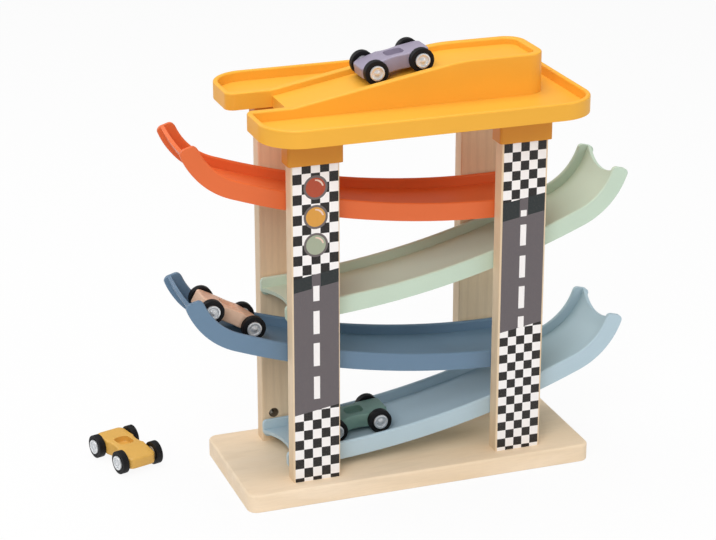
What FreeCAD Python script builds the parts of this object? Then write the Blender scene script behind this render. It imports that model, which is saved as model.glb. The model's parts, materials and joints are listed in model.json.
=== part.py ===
import FreeCAD, Part
import math
import os

import Sketcher

from FreeCAD import Placement, Rotation, Vector

# Wooden toy car ramp: a base board, four posts, four curled tracks, a moulded top deck and four cars.
# Millimetres and degrees. X runs along the base, Y away from the printed side, Z up.
# The origin is the centre of the base board's underside.

DIMENSIONS = {
    # Base board
    "base_length": 290.0,
    "base_width": 120.0,
    "base_thickness": 15.0,
    "base_corner_radius": 8.0,
    "base_edge_radius": 2.0,
    # Posts
    "post_width": 38.6,
    "post_thickness": 13.3,
    "post_span": 171.0,
    "post_edge_radius": 1.0,
    "post_top_gap": 0.2,
    # Tracks, whose path is the lower edge of their side walls
    "track_width": 67.0,
    "track_wall": 3.2,
    "track_wall_height": 14.5,
    "track_skirt": 3.3,
    "track_floor": 3.0,
    "track_reach": 105.0,
    "track_flat": 17.0,
    "track_run_radius": 674.0,
    "track_run_angle": 20.4,
    "track_curl_radius": 63.7,
    "track_curl_angle": 73.0,
    "track_notch_depth": 10.0,
    "track_corner_radius": 4.5,
    "track_post_gap": 1.0,
    "top_track_height": 211.0,
    "top_track_tilt": -0.6,
    "second_track_height": 144.4,
    "second_track_tilt": 2.0,
    "third_track_height": 83.0,
    "third_track_tilt": 0.5,
    "bottom_track_height": 20.6,
    "bottom_track_tilt": 1.6,
    # Pegs on the track walls and their sockets in the posts
    "peg_diameter": 6.0,
    "peg_depth": 5.0,
    "socket_clearance": 0.1,
    "socket_end_gap": 0.3,
    "spare_socket_diameter": 8.0,
    "spare_socket_depth": 6.0,
    "spare_socket_height": 39.0,
    "spare_socket_offset": 9.5,
    # Screws from under the base board into the posts
    "screw_diameter": 4.0,
    "screw_head_height": 2.0,
    "screw_sink": 0.5,
    "screw_length": 40.0,
    "screw_tip": 4.0,
    "screw_spacing": 20.0,
    "screw_clearance": 0.05,
    # Top deck
    "deck_length": 265.0,
    "deck_width": 173.2,
    "deck_underside": 301.4,
    "deck_rim": 13.6,
    "deck_wall": 4.0,
    "deck_floor": 2.5,
    "deck_floor_lift": 3.1,
    "deck_left_radius": 30.0,
    "deck_right_radius": 32.0,
    "deck_mouth_radius": 7.0,
    "deck_edge_radius": 1.5,
    "collar_height": 25.6,
    "collar_wall": 2.5,
    "collar_clearance": 0.1,
    # Drop slot and ramp of the top deck
    "slot_length": 36.5,
    "ramp_width": 60.0,
    "ramp_wall": 6.5,
    "ramp_skin": 2.5,
    "ramp_rim": 5.0,
    "ramp_run": 136.0,
    "ramp_low_lift": 8.6,
    "ramp_rise": 24.0,
    "ramp_crest_radius": 120.0,
    "ramp_setback": 21.8,
    "ramp_end_radius": 16.0,
    # Cars
    "car_length": 56.0,
    "car_body_width": 25.0,
    "car_body_lift": 4.5,
    "car_tail_height": 16.5,
    "car_nose_height": 13.5,
    "car_bonnet_length": 20.0,
    "car_corner_radius": 5.0,
    "car_edge_radius": 1.5,
    "car_waist_depth": 1.6,
    "car_waist_length": 17.0,
    "car_width": 40.0,
    "wheelbase": 37.5,
    "cockpit_length": 15.0,
    "cockpit_width": 13.0,
    "cockpit_depth": 5.0,
    "cockpit_radius": 4.0,
    "cockpit_setback": 3.0,
    "wheel_diameter": 19.0,
    "wheel_width": 7.0,
    "tyre_edge_radius": 1.2,
    "hub_diameter": 11.6,
    "hub_recess": 0.4,
    "hub_dish_diameter": 9.0,
    "hub_dish_depth": 1.4,
    "hub_boss_diameter": 4.4,
    "hub_cap": 1.5,
    "axle_diameter": 3.0,
    "axle_clearance": 0.08,
    "wheel_fit_clearance": 0.02,
    "wheel_floor_gap": 0.3,
    # Where the cars stand
    "violet_car_reach": 90.5,
    "green_car_angle": 4.2,
    "peach_car_angle": 47.4,
    "yellow_car_x": -211.5,
    "yellow_car_y": 68.5,
    "yellow_car_heading": -73.4,
}

SHEET_NAME = "dimensions"
CUT_MARGIN = 2.0
SAME_PLACE = 0.01
SCREW_HEAD_TAPER = 45.0
SCREW_TIP_TAPER = 22.0


class Size:
    """A length or an angle that keeps both its number and its formula on the dimension sheet."""

    def __init__(self, value, text):
        self.value = value
        self.text = text

    @staticmethod
    def of(other):
        if isinstance(other, Size):
            return other
        return Size(float(other), repr(float(other)))

    def join(self, sign, other, value):
        return Size(value, "(" + self.text + sign + other.text + ")")

    def __add__(self, other):
        other = Size.of(other)
        return self.join(" + ", other, self.value + other.value)

    def __sub__(self, other):
        other = Size.of(other)
        return self.join(" - ", other, self.value - other.value)

    def __mul__(self, other):
        other = Size.of(other)
        return self.join(" * ", other, self.value * other.value)

    def __truediv__(self, other):
        other = Size.of(other)
        return self.join(" / ", other, self.value / other.value)

    def __radd__(self, other):
        return Size.of(other) + self

    def __rsub__(self, other):
        return Size.of(other) - self

    def __rmul__(self, other):
        return Size.of(other) * self

    def __neg__(self):
        return Size.of(-1) * self


def sine(angle):
    return Size(math.sin(math.radians(angle.value)), "sin(" + angle.text + ")")


def cosine(angle):
    return Size(math.cos(math.radians(angle.value)), "cos(" + angle.text + ")")


def root(number):
    return Size(math.sqrt(number.value), "sqrt(" + number.text + ")")


doc = FreeCAD.newDocument("toy_car_ramp")
pieces = []


class Dimensions:
    """The driving dimensions by name, each tied to its cell of the sheet."""

    def __init__(self, table):
        sheet = doc.addObject("Spreadsheet::Sheet", SHEET_NAME)
        for row, (name, value) in enumerate(table.items(), start=1):
            sheet.set("A" + str(row), name)
            sheet.set("B" + str(row), str(value))
            sheet.setAlias("B" + str(row), name)
            setattr(self, name, Size(value, SHEET_NAME + "." + name))
        doc.recompute()


d = Dimensions(DIMENSIONS)

# Sizes that follow from the driving ones, shared by the pieces that meet

TRACK_HALF = d.track_width / 2
TRACK_INNER = TRACK_HALF - d.track_wall
TRACK_FLOOR_TOP = d.track_skirt + d.track_floor
RUN_END_X = d.track_flat + d.track_run_radius * sine(d.track_run_angle)
RUN_END_Z = d.track_run_radius * (1 - cosine(d.track_run_angle))
CURL_END_X = RUN_END_X + d.track_curl_radius * (sine(d.track_curl_angle) - sine(d.track_run_angle))
CURL_END_Z = RUN_END_Z + d.track_curl_radius * (cosine(d.track_run_angle) - cosine(d.track_curl_angle))

POST_X = d.post_span / 2
POST_INNER_Y = TRACK_HALF + d.track_post_gap
POST_Y = POST_INNER_Y + d.post_thickness / 2
DECK_FLOOR_UNDERSIDE = d.deck_underside + d.deck_floor_lift
POST_HEIGHT = DECK_FLOOR_UNDERSIDE - d.post_top_gap - d.base_thickness

DECK_LEFT = -d.deck_length / 2
DECK_RIGHT = d.deck_length / 2
DECK_HALF = d.deck_width / 2
SLOT_END = DECK_LEFT + d.slot_length
RAMP_HALF = d.ramp_width / 2
RAMP_INNER = RAMP_HALF - d.ramp_wall
VOID_HALF = RAMP_HALF - d.ramp_skin
RAMP_RIGHT = DECK_RIGHT - d.ramp_setback
RAMP_LOW = d.deck_underside + d.ramp_low_lift
RAMP_HIGH = RAMP_LOW + d.ramp_rise
RAMP_SLOPE_LENGTH = root(d.ramp_run * d.ramp_run + d.ramp_rise * d.ramp_rise)
RAMP_COSINE = d.ramp_run / RAMP_SLOPE_LENGTH
RAMP_SINE = d.ramp_rise / RAMP_SLOPE_LENGTH

WHEEL_RADIUS = d.wheel_diameter / 2
WHEEL_OUTER_Y = d.car_width / 2
WHEEL_INNER_Y = WHEEL_OUTER_Y - d.wheel_width
AXLE_END_Y = WHEEL_OUTER_Y - d.hub_recess - d.hub_cap
CAR_HALF = d.car_body_width / 2


def bind(target, prop, size):
    """Tie one property of an object to the sheet."""
    target.setExpression(prop, Size.of(size).text)


def new_body(label, placement=None):
    """Start one piece of the toy."""
    body = doc.addObject("PartDesign::Body", label)
    body.Label = label
    body.AllowCompound = True
    if placement is not None:
        body.Placement = placement
    pieces.append(body)
    return body


def origin_feature(body, role):
    return next(feature for feature in body.Origin.OriginFeatures if feature.Role == role)


def new_sketch(body, name, role, lift=None):
    """A sketch on one of the body's own planes, raised along the plane's normal by lift."""
    sketch = body.newObject("Sketcher::SketchObject", body.Label + "_" + name)
    sketch.AttachmentSupport = [(origin_feature(body, role), "")]
    sketch.MapMode = "FlatFace"
    if lift is not None:
        sketch.AttachmentOffset = Placement(Vector(0, 0, Size.of(lift).value), Rotation())
        bind(sketch, "AttachmentOffset.Base.z", lift)
    return sketch


def turn_sketch(sketch, x, y, z, axis, angle):
    """Shift a sketch from its plane's origin to x, y, z and turn it by angle about axis."""
    place = Vector(Size.of(x).value, Size.of(y).value, Size.of(z).value)
    sketch.AttachmentOffset = Placement(place, Rotation(axis, Size.of(angle).value))
    bind(sketch, "AttachmentOffset.Base.x", x)
    bind(sketch, "AttachmentOffset.Base.y", y)
    bind(sketch, "AttachmentOffset.Base.z", z)
    bind(sketch, "AttachmentOffset.Rotation.Angle", angle)


def hold(sketch, kind, size, *where):
    """Add a sketch dimension and tie it to the sheet."""
    index = sketch.addConstraint(Sketcher.Constraint(kind, *where, size.value))
    sketch.setExpression("Constraints[" + str(index) + "]", size.text)


def fix_point(sketch, geometry, end, x, y):
    hold(sketch, "DistanceX", Size.of(x), -1, 1, geometry, end)
    hold(sketch, "DistanceY", Size.of(y), -1, 1, geometry, end)


def arc_centre(start, end, radius):
    """Centre of the short arc from start to end: left of the chord for a positive radius."""
    chord = end - start
    height = math.sqrt(max(radius ** 2 - chord.Length ** 2 / 4, 0.0))
    left = Vector(-chord.y, chord.x, 0).normalize()
    return (start + end) / 2 + left * math.copysign(height, radius)


def add_span(sketch, start, end, radius):
    """Add a line, or an arc with its radius held, and say which of its ends come first and last."""
    start = Vector(Size.of(start[0]).value, Size.of(start[1]).value, 0)
    end = Vector(Size.of(end[0]).value, Size.of(end[1]).value, 0)
    if radius is None:
        return sketch.addGeometry(Part.LineSegment(start, end), False), 1, 2
    radius = Size.of(radius)
    centre = arc_centre(start, end, radius.value)
    first = math.atan2(start.y - centre.y, start.x - centre.x)
    last = math.atan2(end.y - centre.y, end.x - centre.x)
    circle = Part.Circle(centre, Vector(0, 0, 1), abs(radius.value))
    if radius.value > 0:
        geometry = sketch.addGeometry(Part.ArcOfCircle(circle, first, last), False)
        hold(sketch, "Radius", radius, geometry)
        return geometry, 1, 2
    geometry = sketch.addGeometry(Part.ArcOfCircle(circle, last, first), False)
    hold(sketch, "Radius", -radius, geometry)
    return geometry, 2, 1


def draw(sketch, corners, closed=True):
    """Draw an outline through corners (x, y) or (x, y, radius of the arc that leads there).

    A positive radius turns left on the way and a negative one turns right.
    """
    spans = []
    for number, corner in enumerate(corners[1:] + corners[:1] if closed else corners[1:]):
        radius = corner[2] if len(corner) == 3 else None
        spans.append(add_span(sketch, corners[number], corner, radius))
    for number, (geometry, first, last) in enumerate(spans):
        fix_point(sketch, geometry, first, corners[number][0], corners[number][1])
        if closed or number + 1 < len(spans):
            following = spans[(number + 1) % len(spans)]
            meeting = (geometry, last, following[0], following[1])
            sketch.addConstraint(Sketcher.Constraint("Coincident", *meeting))
    if not closed:
        geometry, _, last = spans[-1]
        fix_point(sketch, geometry, last, corners[-1][0], corners[-1][1])


def draw_circle(sketch, x, y, diameter):
    x, y, diameter = Size.of(x), Size.of(y), Size.of(diameter)
    circle = Part.Circle(Vector(x.value, y.value, 0), Vector(0, 0, 1), diameter.value / 2)
    geometry = sketch.addGeometry(circle, False)
    fix_point(sketch, geometry, 3, x, y)
    hold(sketch, "Diameter", diameter, geometry)


def draw_box(sketch, left, right, front, back, left_radius=None, right_radius=None):
    """Draw a rectangle, with its left or its right pair of corners rounded where a radius is given."""
    corners = []
    if right_radius is None:
        corners += [(right, front), (right, back)]
    else:
        corners += [
            (right - right_radius, front), (right, front + right_radius, right_radius),
            (right, back - right_radius), (right - right_radius, back, right_radius),
        ]
    if left_radius is None:
        corners += [(left, back), (left, front)]
    else:
        corners += [
            (left + left_radius, back), (left, back - left_radius, left_radius),
            (left, front + left_radius), (left + left_radius, front, left_radius),
        ]
    draw(sketch, corners)


def extrude(body, kind, sketch, length, both_ways=False, reverse=False, taper=None):
    """Pad or pocket a sketch by length, or by half of it each way."""
    feature = body.newObject("PartDesign::" + kind, sketch.Name + "_" + kind.lower())
    feature.Profile = sketch
    feature.Type = "Length"
    feature.SideType = "Symmetric" if both_ways else "One side"
    feature.Reversed = reverse
    bind(feature, "Length", length)
    if taper is not None:
        feature.TaperAngle = taper
    sketch.Visibility = False
    doc.recompute()
    return feature


def pad(body, sketch, length, **options):
    return extrude(body, "Pad", sketch, length, **options)


def pocket(body, sketch, length, **options):
    before = body.Shape.Volume
    feature = extrude(body, "Pocket", sketch, length, **options)
    if body.Shape.Volume > before - SAME_PLACE:
        raise ValueError(feature.Name + " cuts nothing")
    return feature


def edges_where(feature, test):
    """Names of the feature's edges that pass a test on the edge's own box."""
    edges = feature.Shape.Edges
    return ["Edge" + str(number) for number, edge in enumerate(edges, start=1) if test(edge)]


def fillet(body, feature, names, radius):
    rounded = body.newObject("PartDesign::Fillet", feature.Name + "_round")
    rounded.Base = (feature, names)
    bind(rounded, "Radius", radius)
    doc.recompute()
    return rounded


def is_upright(edge):
    box = edge.BoundBox
    return box.XLength < SAME_PLACE and box.YLength < SAME_PLACE and box.ZLength > SAME_PLACE


def is_level_at(edge, height):
    box = edge.BoundBox
    return box.ZLength < SAME_PLACE and abs(box.ZMin - height.value) < SAME_PLACE


def mirror(body, feature, role):
    """Repeat a feature on the other side of one of the body's planes."""
    mirrored = body.newObject("PartDesign::Mirrored", feature.Name + "_mirrored")
    mirrored.Originals = [feature]
    mirrored.MirrorPlane = (origin_feature(body, role), [""])
    body.Tip = mirrored
    doc.recompute()
    return mirrored


# Base board and its screws

def screw_places():
    """Centres of the eight screws, two under each post."""
    for side in (-1, 1):
        for end in (-1, 1):
            for half in (-1, 1):
                yield end * POST_X + half * d.screw_spacing / 2, side * POST_Y


def make_base_board():
    body = new_body("base_board")
    outline = new_sketch(body, "outline", "XY_Plane")
    half_length, half_width = d.base_length / 2, d.base_width / 2
    radius = d.base_corner_radius
    draw_box(outline, -half_length, half_length, -half_width, half_width, radius, radius)
    board = pad(body, outline, d.base_thickness)
    top_rim = edges_where(board, lambda edge: is_level_at(edge, d.base_thickness))
    top_round = fillet(body, board, top_rim, d.base_edge_radius)
    bottom_rim = edges_where(top_round, lambda edge: is_level_at(edge, Size.of(0)))
    fillet(body, top_round, bottom_rim, d.base_edge_radius / 2)
    holes = new_sketch(body, "screw_holes", "XY_Plane")
    for x, y in screw_places():
        draw_circle(holes, x, y, d.screw_diameter + 2 * d.screw_clearance)
    pocket(body, holes, d.base_thickness, reverse=True)
    # The sinks are 90 degree cones that the heads sit in, below the underside
    sinks = new_sketch(body, "screw_sinks", "XY_Plane")
    sink_depth = d.screw_sink + d.screw_head_height
    for x, y in screw_places():
        wide = d.screw_diameter + 2 * (sink_depth + d.screw_clearance)
        draw_circle(sinks, x, y, wide)
    pocket(body, sinks, sink_depth, reverse=True, taper=-SCREW_HEAD_TAPER)


def make_base_screws():
    body = new_body("base_screws")
    heads = new_sketch(body, "heads", "XY_Plane", d.screw_sink)
    shanks = new_sketch(body, "shanks", "XY_Plane", d.screw_sink + d.screw_head_height)
    tips = new_sketch(body, "tips", "XY_Plane", d.screw_sink + d.screw_length - d.screw_tip)
    for x, y in screw_places():
        draw_circle(heads, x, y, d.screw_diameter + 2 * d.screw_head_height)
        draw_circle(shanks, x, y, d.screw_diameter)
        draw_circle(tips, x, y, d.screw_diameter)
    pad(body, heads, d.screw_head_height, taper=-SCREW_HEAD_TAPER)
    pad(body, shanks, d.screw_length - d.screw_head_height - d.screw_tip)
    pad(body, tips, d.screw_tip, taper=-SCREW_TIP_TAPER)


# Tracks

class Track:
    """One track: its name, exit height, tilt, and the side of the stand where cars leave it."""

    def __init__(self, name, exit_side):
        self.name = name
        self.exit_side = exit_side
        self.height = getattr(d, name + "_height")
        self.tilt = getattr(d, name + "_tilt")

    def placement(self):
        """The track's own X runs from its exit to its curl, along the lower edge of its walls."""
        turn = Rotation(Vector(0, 0, 1), 180 if self.exit_side > 0 else 0)
        lean = Rotation(Vector(0, 1, 0), -self.tilt.value)
        return Placement(Vector(self.exit_side * d.track_reach.value, 0, self.height.value), turn * lean)

    def peg_place(self, post_side):
        """Centre of the pegs at one pair of posts, in the track's own X and Z."""
        along = d.track_reach - self.exit_side * post_side * POST_X
        rise = along - d.track_flat
        run_radius = d.track_run_radius
        edge = run_radius - root(run_radius * run_radius - rise * rise)
        return along, edge + d.track_wall_height / 2

    def socket_place(self, post_side):
        """The same centre in the toy's X and Z."""
        along, up = self.peg_place(post_side)
        level = along * cosine(self.tilt) - up * sine(self.tilt)
        return (
            self.exit_side * (d.track_reach - level),
            self.height + along * sine(self.tilt) + up * cosine(self.tilt),
        )


TRACKS = (
    Track("top_track", 1),
    Track("second_track", -1),
    Track("third_track", 1),
    Track("bottom_track", -1),
)


def cut_wall_corners(body, sketch, outward):
    """Round the walls' end corners: outward is the way the end faces along the sketch's X."""
    radius, high = d.track_corner_radius, d.track_wall_height
    draw(sketch, [
        (-outward * radius, high), (Size.of(0), high - radius, -outward * radius),
        (outward * CUT_MARGIN, high - radius), (outward * CUT_MARGIN, high + CUT_MARGIN),
        (-outward * radius, high + CUT_MARGIN),
    ])
    draw(sketch, [
        (Size.of(0), radius), (-outward * radius, Size.of(0), -outward * radius),
        (-outward * radius, Size.of(-CUT_MARGIN)), (Size.of(outward * CUT_MARGIN), Size.of(-CUT_MARGIN)),
        (Size.of(outward * CUT_MARGIN), radius),
    ])
    pocket(body, sketch, d.track_width + 2 * CUT_MARGIN, both_ways=True)


def cut_end_notch(body, sketch, outward):
    """Cut the hollow curve at one end of the floor, from wall to wall."""
    depth = d.track_notch_depth
    radius = (TRACK_INNER * TRACK_INNER + depth * depth) / (2 * depth)
    draw(sketch, [
        (Size.of(0), -outward * TRACK_INNER),
        (Size.of(0), outward * TRACK_INNER, -radius),
        (outward * CUT_MARGIN, outward * TRACK_INNER),
        (outward * CUT_MARGIN, -outward * TRACK_INNER),
    ])
    pocket(body, sketch, 2 * d.track_wall_height, both_ways=True)


def make_track(track):
    body = new_body(track.name, track.placement())
    section = new_sketch(body, "section", "YZ_Plane")
    rim = d.track_wall / 2
    high, skirt = d.track_wall_height, d.track_skirt
    draw(section, [
        (-TRACK_HALF, Size.of(0)), (-TRACK_INNER, Size.of(0)), (-TRACK_INNER, skirt),
        (TRACK_INNER, skirt), (TRACK_INNER, Size.of(0)), (TRACK_HALF, Size.of(0)),
        (TRACK_HALF, high - rim), (TRACK_HALF - rim, high, rim), (TRACK_INNER, high - rim, rim),
        (TRACK_INNER, TRACK_FLOOR_TOP), (-TRACK_INNER, TRACK_FLOOR_TOP),
        (-TRACK_INNER, high - rim), (rim - TRACK_HALF, high, rim), (-TRACK_HALF, high - rim, rim),
    ])
    path = new_sketch(body, "path", "XZ_Plane")
    draw(path, [
        (Size.of(0), Size.of(0)), (d.track_flat, Size.of(0)),
        (RUN_END_X, RUN_END_Z, d.track_run_radius), (CURL_END_X, CURL_END_Z, d.track_curl_radius),
    ], closed=False)
    channel = body.newObject("PartDesign::AdditivePipe", track.name + "_channel")
    channel.Profile = section
    channel.Spine = (path, [])
    doc.recompute()

    exit_corners = new_sketch(body, "exit_corners", "XZ_Plane")
    cut_wall_corners(body, exit_corners, -1)
    exit_notch = new_sketch(body, "exit_notch", "XY_Plane")
    cut_end_notch(body, exit_notch, -1)
    curl_corners = new_sketch(body, "curl_corners", "XZ_Plane")
    turn_sketch(curl_corners, CURL_END_X, CURL_END_Z, 0, Vector(0, 0, 1), d.track_curl_angle)
    cut_wall_corners(body, curl_corners, 1)
    curl_notch = new_sketch(body, "curl_notch", "XY_Plane")
    turn_sketch(curl_notch, CURL_END_X, 0, CURL_END_Z, Vector(0, 1, 0), -d.track_curl_angle)
    cut_end_notch(body, curl_notch, 1)

    root_depth = d.track_wall / 2
    pegs = new_sketch(body, "pegs", "XZ_Plane", TRACK_HALF - root_depth)
    for post_side in (-1, 1):
        along, up = track.peg_place(post_side)
        draw_circle(pegs, along, up, d.peg_diameter)
    front_pegs = pad(body, pegs, root_depth + d.track_post_gap + d.peg_depth)
    mirror(body, front_pegs, "XZ_Plane")


# Posts

def make_post(label, end, side):
    """One post: end is -1 at the left and 1 at the right, side is -1 at the front and 1 at the back."""
    turn = Rotation(Vector(0, 0, 1), 180 if side > 0 else 0)
    centre = Vector(end * POST_X.value, side * POST_Y.value, d.base_thickness.value)
    body = new_body(label, Placement(centre, turn))
    outline = new_sketch(body, "outline", "XY_Plane")
    half_width, half_thickness = d.post_width / 2, d.post_thickness / 2
    draw_box(outline, -half_width, half_width, -half_thickness, half_thickness)
    blank = pad(body, outline, POST_HEIGHT)
    fillet(body, blank, edges_where(blank, is_upright), d.post_edge_radius)

    # The inner face looks along the post's own Y, where the track pegs go in
    sockets = new_sketch(body, "sockets", "XZ_Plane", -half_thickness)
    for track in TRACKS:
        x, z = track.socket_place(end)
        local_x = -side * (x - end * POST_X)
        draw_circle(sockets, local_x, z - d.base_thickness, d.peg_diameter + 2 * d.socket_clearance)
    pocket(body, sockets, d.peg_depth + d.socket_end_gap, reverse=True)
    if end < 0 < side:
        spare = new_sketch(body, "spare_socket", "XZ_Plane", -half_thickness)
        draw_circle(
            spare, d.spare_socket_offset, d.spare_socket_height - d.base_thickness,
            d.spare_socket_diameter,
        )
        pocket(body, spare, d.spare_socket_depth, reverse=True)

    pilots = new_sketch(body, "screw_pilots", "XY_Plane")
    for half in (-1, 1):
        draw_circle(pilots, half * d.screw_spacing / 2, 0, d.screw_diameter + 2 * d.screw_clearance)
    pilot_depth = d.screw_sink + d.screw_length - d.base_thickness + CUT_MARGIN
    pocket(body, pilots, pilot_depth, reverse=True)


# Top deck

def ramp_line(lift, high_end):
    """Corners along the ramp's line from the drop slot up, raised by lift, with a rounded crest."""
    crest = SLOT_END + d.ramp_run
    reach = d.ramp_crest_radius * (RAMP_SLOPE_LENGTH - d.ramp_run) / d.ramp_rise
    return [
        (SLOT_END, RAMP_LOW + lift),
        (crest - reach * RAMP_COSINE, RAMP_HIGH - reach * RAMP_SINE + lift),
        (crest + reach, RAMP_HIGH + lift, -d.ramp_crest_radius),
        (high_end, RAMP_HIGH + lift),
    ]


def make_top_deck():
    body = new_body("top_deck")
    wall, lift = d.deck_wall, d.deck_floor_lift
    bay_end = SLOT_END + d.ramp_wall

    outline = new_sketch(body, "outline", "XY_Plane", d.deck_underside)
    draw_deck_plan(outline, Size.of(0), RAMP_INNER, SLOT_END)
    pad(body, outline, d.deck_rim)
    tray = new_sketch(body, "tray", "XY_Plane", d.deck_underside + d.deck_rim)
    draw_deck_plan(tray, wall, RAMP_HALF, bay_end)
    pocket(body, tray, d.deck_rim - lift - d.deck_floor)
    hollow = new_sketch(body, "hollow", "XY_Plane", d.deck_underside)
    draw_deck_plan(hollow, wall, RAMP_HALF, bay_end)
    pocket(body, hollow, lift, reverse=True)

    ramp = new_sketch(body, "ramp", "XZ_Plane")
    foot = [(RAMP_RIGHT, d.deck_underside), (SLOT_END, d.deck_underside)]
    draw(ramp, foot + ramp_line(d.ramp_rim, RAMP_RIGHT))
    block = pad(body, ramp, d.ramp_width, both_ways=True)
    far_corners = edges_where(block, lambda edge: is_upright(edge) and is_at_x(edge, RAMP_RIGHT))
    fillet(body, block, far_corners, d.ramp_end_radius)

    # The trough and the hollow under it: a sloped stretch, then a level one with round corners
    bend = RAMP_RIGHT - d.ramp_end_radius
    far_inside = RAMP_RIGHT - d.ramp_wall
    inner_radius = d.ramp_end_radius - d.ramp_wall
    sky = RAMP_HIGH + d.ramp_rim + CUT_MARGIN
    channel = new_sketch(body, "channel", "XZ_Plane")
    floor = ramp_line(Size.of(0), bend)
    draw(channel, floor + [(bend, sky), (SLOT_END, sky)])
    pocket(body, channel, 2 * RAMP_INNER, both_ways=True)
    landing = new_sketch(body, "landing", "XY_Plane", sky)
    draw_box(landing, bend - CUT_MARGIN, far_inside, -RAMP_INNER, RAMP_INNER, None, inner_radius)
    pocket(body, landing, sky - RAMP_HIGH)

    void = new_sketch(body, "void", "XZ_Plane")
    ceiling = ramp_line(-d.ramp_skin, bend)
    ceiling[0] = (SLOT_END + d.ramp_skin, ceiling[0][1])
    bottom = d.deck_underside - CUT_MARGIN
    draw(void, [(bend, bottom), (SLOT_END + d.ramp_skin, bottom)] + ceiling)
    pocket(body, void, 2 * VOID_HALF, both_ways=True)
    far_void = new_sketch(body, "far_void", "XY_Plane", bottom)
    void_end = RAMP_RIGHT - d.ramp_skin
    void_radius = d.ramp_end_radius - d.ramp_skin
    draw_box(far_void, bend - CUT_MARGIN, void_end, -VOID_HALF, VOID_HALF, None, void_radius)
    pocket(body, far_void, RAMP_HIGH - d.ramp_skin - bottom, reverse=True)

    sleeves = new_sketch(body, "sleeves", "XY_Plane", d.deck_underside - d.collar_height)
    for end in (-1, 1):
        for side in (-1, 1):
            draw_sleeve(sleeves, end * POST_X, side * POST_Y)
    deck = pad(body, sleeves, d.collar_height + lift)
    rims = edges_where(deck, lambda edge: is_on_deck_rim(edge) or is_on_ramp_rim(edge))
    fillet(body, deck, rims, d.deck_edge_radius)


def draw_deck_plan(sketch, inset, bay_half, bay_end):
    """Draw the deck's plan, inset from its edge, with the drop slot's bay open to the left."""
    left, right = DECK_LEFT + inset, DECK_RIGHT - inset
    front, back = inset - DECK_HALF, DECK_HALF - inset
    left_radius, right_radius = d.deck_left_radius - inset, d.deck_right_radius - inset
    mouth = d.deck_mouth_radius - inset
    draw(sketch, [
        (right - right_radius, front), (right, front + right_radius, right_radius),
        (right, back - right_radius), (right - right_radius, back, right_radius),
        (left + left_radius, back), (left, back - left_radius, left_radius),
        (left, bay_half + mouth), (left + mouth, bay_half, mouth),
        (bay_end, bay_half), (bay_end, -bay_half),
        (left + mouth, -bay_half), (left, -bay_half - mouth, mouth),
        (left, front + left_radius), (left + left_radius, front, left_radius),
    ])


def is_on_deck_rim(edge):
    """Whether an edge runs along the top of the deck's wall or of the drop slot's sides."""
    return is_level_at(edge, d.deck_underside + d.deck_rim) and not is_at_x(edge, SLOT_END)


def is_on_ramp_rim(edge):
    """Whether an edge runs along the top of the ramp's side walls or its end wall."""
    top = (RAMP_HIGH + d.ramp_rim).value
    if edge.BoundBox.ZMin > top - SAME_PLACE:
        return edge.BoundBox.XMin > SLOT_END.value
    runs_up = edge.BoundBox.YLength < SAME_PLACE and edge.BoundBox.ZLength > d.deck_rim.value
    return runs_up and edge.BoundBox.ZMax > RAMP_HIGH.value and not is_upright(edge)


def is_at_x(edge, x):
    return abs(edge.BoundBox.XMin - x.value) < SAME_PLACE


def draw_sleeve(sketch, x, y):
    """The plan of one collar: a rectangle round the post and another round that."""
    half_width = d.post_width / 2 + d.collar_clearance
    half_thickness = d.post_thickness / 2 + d.collar_clearance
    wall = d.collar_wall
    draw_box(sketch, x - half_width, x + half_width, y - half_thickness, y + half_thickness)
    draw_box(
        sketch, x - half_width - wall, x + half_width + wall,
        y - half_thickness - wall, y + half_thickness + wall, wall, wall,
    )


# Cars

def upright_placement(origin, forward, up):
    """A car's placement from the point on the ground under its middle, its heading and its up."""
    return Placement(origin, Rotation(forward, up.cross(forward), up, "ZXY"))


def wheel_circle(radius):
    """Radius of the circle that wheel centres follow inside a curve of the track's path."""
    return (radius - TRACK_FLOOR_TOP - WHEEL_RADIUS - d.wheel_floor_gap).value


def violet_placement():
    """On the ramp, facing down it."""
    reach = d.violet_car_reach.value
    slope = d.ramp_rise.value / d.ramp_run.value
    forward = Vector(-RAMP_COSINE.value, 0, -RAMP_SINE.value)
    up = Vector(-RAMP_SINE.value, 0, RAMP_COSINE.value)
    floor = Vector(SLOT_END.value + reach, 0, RAMP_LOW.value + reach * slope)
    return upright_placement(floor + up * d.wheel_floor_gap.value, forward, up)


def green_placement():
    """On the long curve of the bottom track, facing its exit."""
    angle = math.radians(d.green_car_angle.value)
    half_base = d.wheelbase.value / 2
    middle = math.sqrt(wheel_circle(d.track_run_radius) ** 2 - half_base ** 2)
    centre = Vector(d.track_flat.value, 0, d.track_run_radius.value)
    down = Vector(math.sin(angle), 0, -math.cos(angle))
    forward = Vector(-math.cos(angle), 0, -math.sin(angle))
    origin = centre + down * (middle + WHEEL_RADIUS.value)
    local = upright_placement(origin, forward, -down)
    return TRACKS[3].placement() * local


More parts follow.
